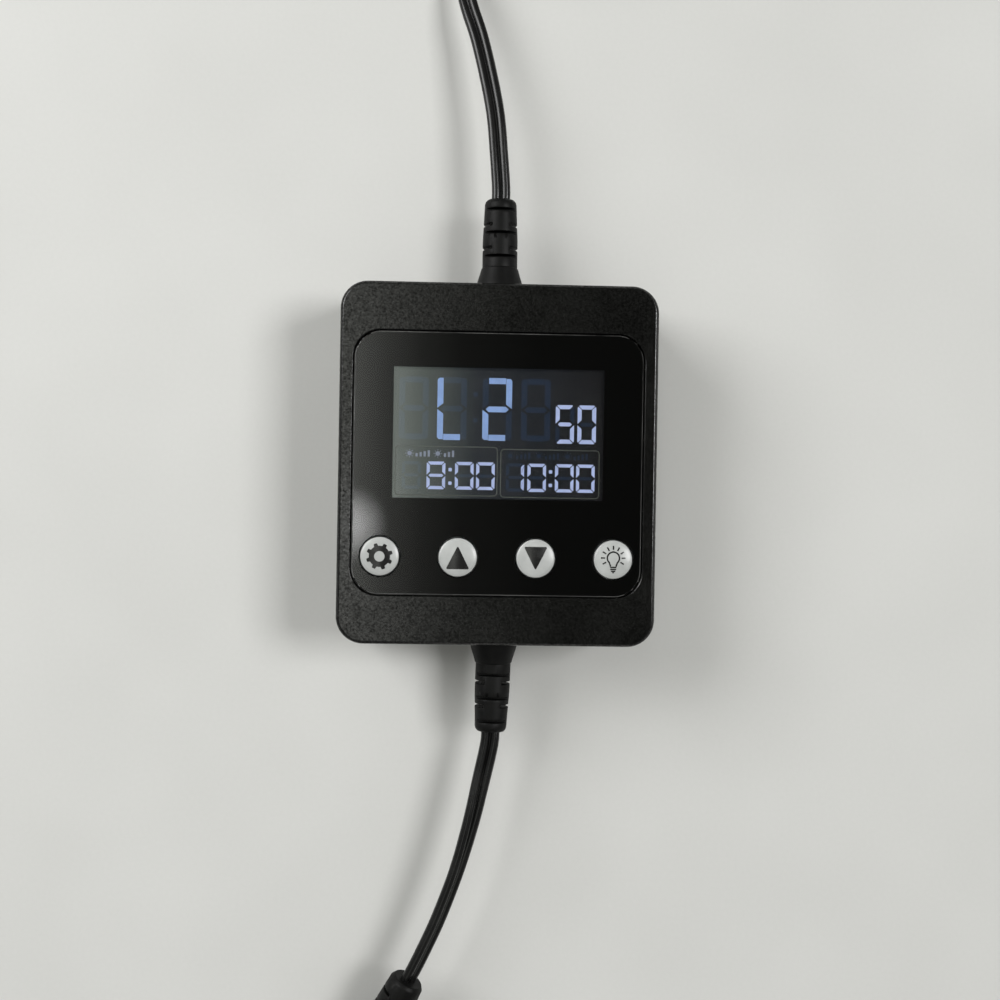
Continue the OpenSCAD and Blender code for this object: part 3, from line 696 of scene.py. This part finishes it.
def build_display():
    big, small, faint, left_out = [], [], [], []
    for u, sign in ((0.9, " "), (7.65, "L"), (15.65, "2"), (22.5, " ")):
        digit(u, 1.55, 5.2, 11.1, 1.05, sign, big, faint)
    colon(14.4, (4.5, 9.1), 0.8, faint)
    for u, sign in ((28.65, "5"), (32.55, "0")):
        digit(u, 6.1, 3.3, 6.85, 0.72, sign, small, faint)
    for u, sign in ((1.6, " "), (5.95, "8"), (10.95, "0"), (14.7, "0")):
        digit(u, 16.5, 3.3, 4.9, 0.56, sign, small, faint)
    colon(10.1, (17.9, 20.3), 0.6, small)
    for u, sign in ((20.0, " "), (23.8, "0"), (28.7, "0"), (32.45, "0")):
        digit(u, 16.6, 3.3, 5, 0.56, sign, small, faint)
    digit(20.0, 16.6, 3.2, 5, 0.56, "1", small, left_out)
    colon(27.9, (18.0, 20.4), 0.6, small)
    for part in left_out:
        bpy.data.objects.remove(part)
    lines = [rounded_box(0.3, 13.75, 18.5, 22.55, 0.7, 0.17),
             rounded_box(18.95, 14.05, 36.6, 22.7, 0.7, 0.17)]
    legend, shy = [], []
    small_sign(2.3, 15.1, 1.15, 4, legend)
    small_sign(7.3, 15.1, 1.15, 3, legend)
    for u in (20.1, 25.2, 30.3):
        small_sign(u, 15.25, 1.15, 4, shy)
    finish_with(merge(big, "display_large_figures"),
                lit("large figures", srgb(128, 158, 208)))
    finish_with(merge(small, "display_small_figures"),
                lit("small figures", srgb(168, 182, 222)))
    # the unlit figures carry the same painted reflection at their left end
    finish_with(merge(faint + shy, "display_unlit_figures"),
                film_with_painted_reflection("unlit figures", (0.003, 0.01, 0.026)))
    finish_with(merge(lines, "display_boxes"), lit("display boxes", srgb(58, 62, 54)))
    finish_with(merge(legend, "display_legend"),
                lit("display legend", srgb(112, 120, 136)))


build_display()


# ---------- the signs on the buttons ----------

PITCH, ROW_Y, CROWN_TOP = 13.638, -16.399, 20.75
INK_GAP, INK_THICK = 0.006, 0.03
RING_SIDES = 48


def icon_bar(x0, y0, x1, y1, w):
    """A flat stroke between two points, divided so that it can follow the cap."""
    length = math.hypot(x1 - x0, y1 - y0)
    bar = flat_plate("stroke", length, w)
    only(bar)
    bpy.ops.object.mode_set(mode="EDIT")
    bpy.ops.mesh.select_all(action="SELECT")
    bpy.ops.mesh.subdivide(number_cuts=3)
    bpy.ops.object.mode_set(mode="OBJECT")
    bar.matrix_world = (Matrix.Translation(Vector(((x0 + x1) / 2, (y0 + y1) / 2, 0)) * MM)
                        @ Matrix.Rotation(math.atan2(y1 - y0, x1 - x0), 4, "Z"))
    settle(bar)
    return bar


def icon_ring(inner, outer):
    """A flat ring made by drawing a circle's edge outwards."""
    bpy.ops.object.select_all(action="DESELECT")
    bpy.ops.mesh.primitive_circle_add(vertices=RING_SIDES, radius=inner * MM)
    ring = bpy.context.object
    bpy.ops.object.mode_set(mode="EDIT")
    bpy.ops.mesh.select_all(action="SELECT")
    bpy.ops.mesh.extrude_edges_move()
    bpy.ops.transform.resize(value=(outer / inner,) * 3)
    bpy.ops.object.mode_set(mode="OBJECT")
    return ring


def gear_icon():
    """A ring with eight teeth drawn out of it."""
    ring = icon_ring(0.92, 1.85)
    for tooth in range(8):
        centre = math.radians(18.75 + 45 * tooth)
        toward = Vector((math.cos(centre), math.sin(centre), 0))
        pick(ring, "points", lambda p: 1.8 < p.length < 1.9
             and p.normalized().dot(toward) > math.cos(math.radians(12)))
        bpy.ops.object.mode_set(mode="EDIT")
        bpy.ops.mesh.extrude_region_move(
            TRANSFORM_OT_translate={"value": toward * 0.48 * MM})
        bpy.ops.transform.resize(value=(0.82, 0.82, 1))
        bpy.ops.object.mode_set(mode="OBJECT")
    return ring


def triangle_icon(up):
    """A solid triangle cut from a grid, with its corners taken off."""
    bpy.ops.object.select_all(action="DESELECT")
    bpy.ops.mesh.primitive_grid_add(x_subdivisions=14, y_subdivisions=14, size=4.1 * MM)
    plate = bpy.context.object
    cuts = [((0, 2.05), (0.894, 0.447)), ((0, 2.05), (-0.894, 0.447)), ((0, 1.83), (0, 1)),
            ((1.87, -2.05), (0.958, -0.287)), ((-1.87, -2.05), (-0.958, -0.287))]
    bpy.ops.object.mode_set(mode="EDIT")
    for (x, y), (nx, ny) in cuts:
        bpy.ops.mesh.select_all(action="SELECT")
        bpy.ops.mesh.bisect(plane_co=(x * MM, y * MM, 0), plane_no=(nx, ny, 0),
                            clear_outer=True, threshold=0.0000001)
    bpy.ops.object.mode_set(mode="OBJECT")
    if not up:
        plate.matrix_world = Matrix.Rotation(math.pi, 4, "Z")
        settle(plate)
    return plate


def bulb_icon():
    """A lamp in outline with its screw base and nine rays."""
    ring = icon_ring(0.93, 1.2)
    pick(ring, "faces", lambda p: p.y < -0.86)
    bpy.ops.object.mode_set(mode="EDIT")
    bpy.ops.mesh.delete(type="FACE")
    bpy.ops.object.mode_set(mode="OBJECT")
    parts = [ring]
    for side in (-1, 1):
        parts.append(icon_bar(side * 0.7, -0.84, side * 0.47, -1.46, 0.24))
    parts.append(icon_bar(-0.55, -1.62, 0.55, -1.62, 0.24))
    parts.append(icon_bar(-0.5, -1.98, 0.5, -1.98, 0.24))
    parts.append(icon_bar(-0.38, -2.32, 0.38, -2.32, 0.22))
    parts.append(icon_bar(-0.14, -2.56, 0.14, -2.56, 0.2))
    for k in range(9):
        a = math.radians(90 - 120 + 30 * k)
        parts.append(icon_bar(1.45 * math.cos(a), 1.45 * math.sin(a),
                              2.15 * math.cos(a), 2.15 * math.sin(a), 0.25))
    icon = merge(parts, "bulb")
    icon.location = (0, 0.3 * MM, 0)
    settle(icon)
    return icon


def put_on_cap(icon, key, place):
    """Press a flat sign onto its domed cap and give it the thickness of print."""
    icon.name = f"{key}_sign"
    icon.location = Vector(((place - 1.5) * PITCH, ROW_Y, CROWN_TOP + 1)) * MM
    settle(icon)
    pick(icon, "faces", lambda p: True)
    for face in icon.data.polygons:
        face.select = face.normal.z < 0
    only(icon)
    bpy.ops.object.mode_set(mode="EDIT")
    bpy.ops.mesh.flip_normals()
    bpy.ops.object.mode_set(mode="OBJECT")
    wrap = icon.modifiers.new("wrap", "SHRINKWRAP")
    wrap.target = nodes[f"{key}_button_cap"]
    wrap.wrap_method = "PROJECT"
    wrap.use_project_z = True
    wrap.use_negative_direction = True
    wrap.use_positive_direction = False
    wrap.offset = INK_GAP * MM
    print_layer = icon.modifiers.new("print", "SOLIDIFY")
    print_layer.thickness = INK_THICK * MM
    print_layer.offset = 1
    apply_all(icon)
    only(icon)
    bpy.ops.object.mode_set(mode="EDIT")
    bpy.ops.mesh.select_all(action="SELECT")
    bpy.ops.mesh.normals_make_consistent(inside=False)
    bpy.ops.object.mode_set(mode="OBJECT")
    bpy.ops.object.shade_smooth_by_angle(angle=math.radians(30))
    finish_with(icon, SIGN_INK, f"{key}_button")


SIGN_INK = surface("glossy black sign", (0.004, 0.004, 0.004), (0.008, 0.008, 0.008), 0.26,
                   0.0005, 0.003, 0.000002, 0.2, coat=0.15, coat_rough=0.1)

put_on_cap(gear_icon(), "set", 0)
put_on_cap(triangle_icon(True), "up", 1)
put_on_cap(triangle_icon(False), "down", 2)
put_on_cap(bulb_icon(), "light", 3)


# ---------- studio ----------

def lay_floor():
    bpy.ops.object.select_all(action="DESELECT")
    bpy.ops.mesh.primitive_plane_add(size=6, location=(0, 0, -0.00002))
    floor = bpy.context.object
    floor.name = "floor"
    paper = surface("pale grey floor", (0.56, 0.56, 0.54), (0.6, 0.6, 0.58), 0.7,
                    0.0008, 0.05, 0.000004, 0.2)
    floor.data.materials.append(paper)


def soft_light(name, at, aim, size, watts):
    lamp = bpy.data.lights.new(name, "AREA")
    lamp.shape = "SQUARE"
    lamp.size = size
    lamp.energy = watts
    piece = bpy.data.objects.new(name, lamp)
    piece.location = at
    piece.rotation_euler = (Vector(aim) - Vector(at)).to_track_quat("-Z", "Y").to_euler()
    scene.collection.objects.link(piece)


PANEL_REFLECTION = [(-0.5, 0.1), (-0.3, 0.2), (-0.14, 0.8), (-0.09, 0.84), (-0.06, 0.42),
                    (-0.03, 0.18), (0.0, 0.085), (0.06, 0.045), (0.2, 0.03), (0.5, 0.1)]
BRIGHT_PATCH = (-0.088, -0.022, 0.996)


def light_room():
    """A pale room: bright to the left of overhead, dark straight above and to the right,
    with one small bright patch that the panel mirrors."""
    world = bpy.data.worlds.new("room")
    scene.world = world
    world.use_nodes = True
    n, wire = world.node_tree.nodes, world.node_tree.links.new
    sky = n["Background"]
    place = n.new("ShaderNodeTexCoord")
    axes = n.new("ShaderNodeSeparateXYZ")
    wire(place.outputs["Generated"], axes.inputs[0])
    across = map_range(n, -0.5, 0.5)
    wire(axes.outputs["X"], across.inputs["Value"])
    ramp = n.new("ShaderNodeValToRGB")
    wire(across.outputs["Result"], ramp.inputs["Fac"])
    fill_ramp(ramp, [(x + 0.5, (level, level * 1.02, level * 0.95))
                     for x, level in PANEL_REFLECTION])
    low = map_range(n, 0.6, 0.92)
    wire(axes.outputs["Z"], low.inputs["Value"])
    blend = n.new("ShaderNodeMix")
    blend.data_type = "RGBA"
    blend.inputs[6].default_value = (0.11, 0.11, 0.107, 1)
    wire(low.outputs["Result"], blend.inputs["Factor"])
    wire(ramp.outputs["Color"], blend.inputs[7])
    apart = n.new("ShaderNodeVectorMath")
    apart.operation = "DISTANCE"
    apart.inputs[1].default_value = BRIGHT_PATCH
    wire(place.outputs["Generated"], apart.inputs[0])
    glow = map_range(n, 0.004, 0.034, 3.4, 0)
    glow.interpolation_type = "SMOOTHSTEP"
    wire(apart.outputs["Value"], glow.inputs["Value"])
    total = n.new("ShaderNodeVectorMath")
    total.operation = "ADD"
    wire(blend.outputs[2], total.inputs[0])
    wire(glow.outputs["Result"], total.inputs[1])
    wire(total.outputs["Vector"], sky.inputs["Color"])
    sky.inputs["Strength"].default_value = 2.0
    soft_light("key", (1.1, 0.2, 1.5), (0, 0, 0), 0.6, 19.5)
    soft_light("side", (-0.6, 0.35, 0.5), (-0.1, 0.05, 0), 0.5, 5.5)


lay_floor()
light_room()

bpy.ops.object.select_all(action="DESELECT")
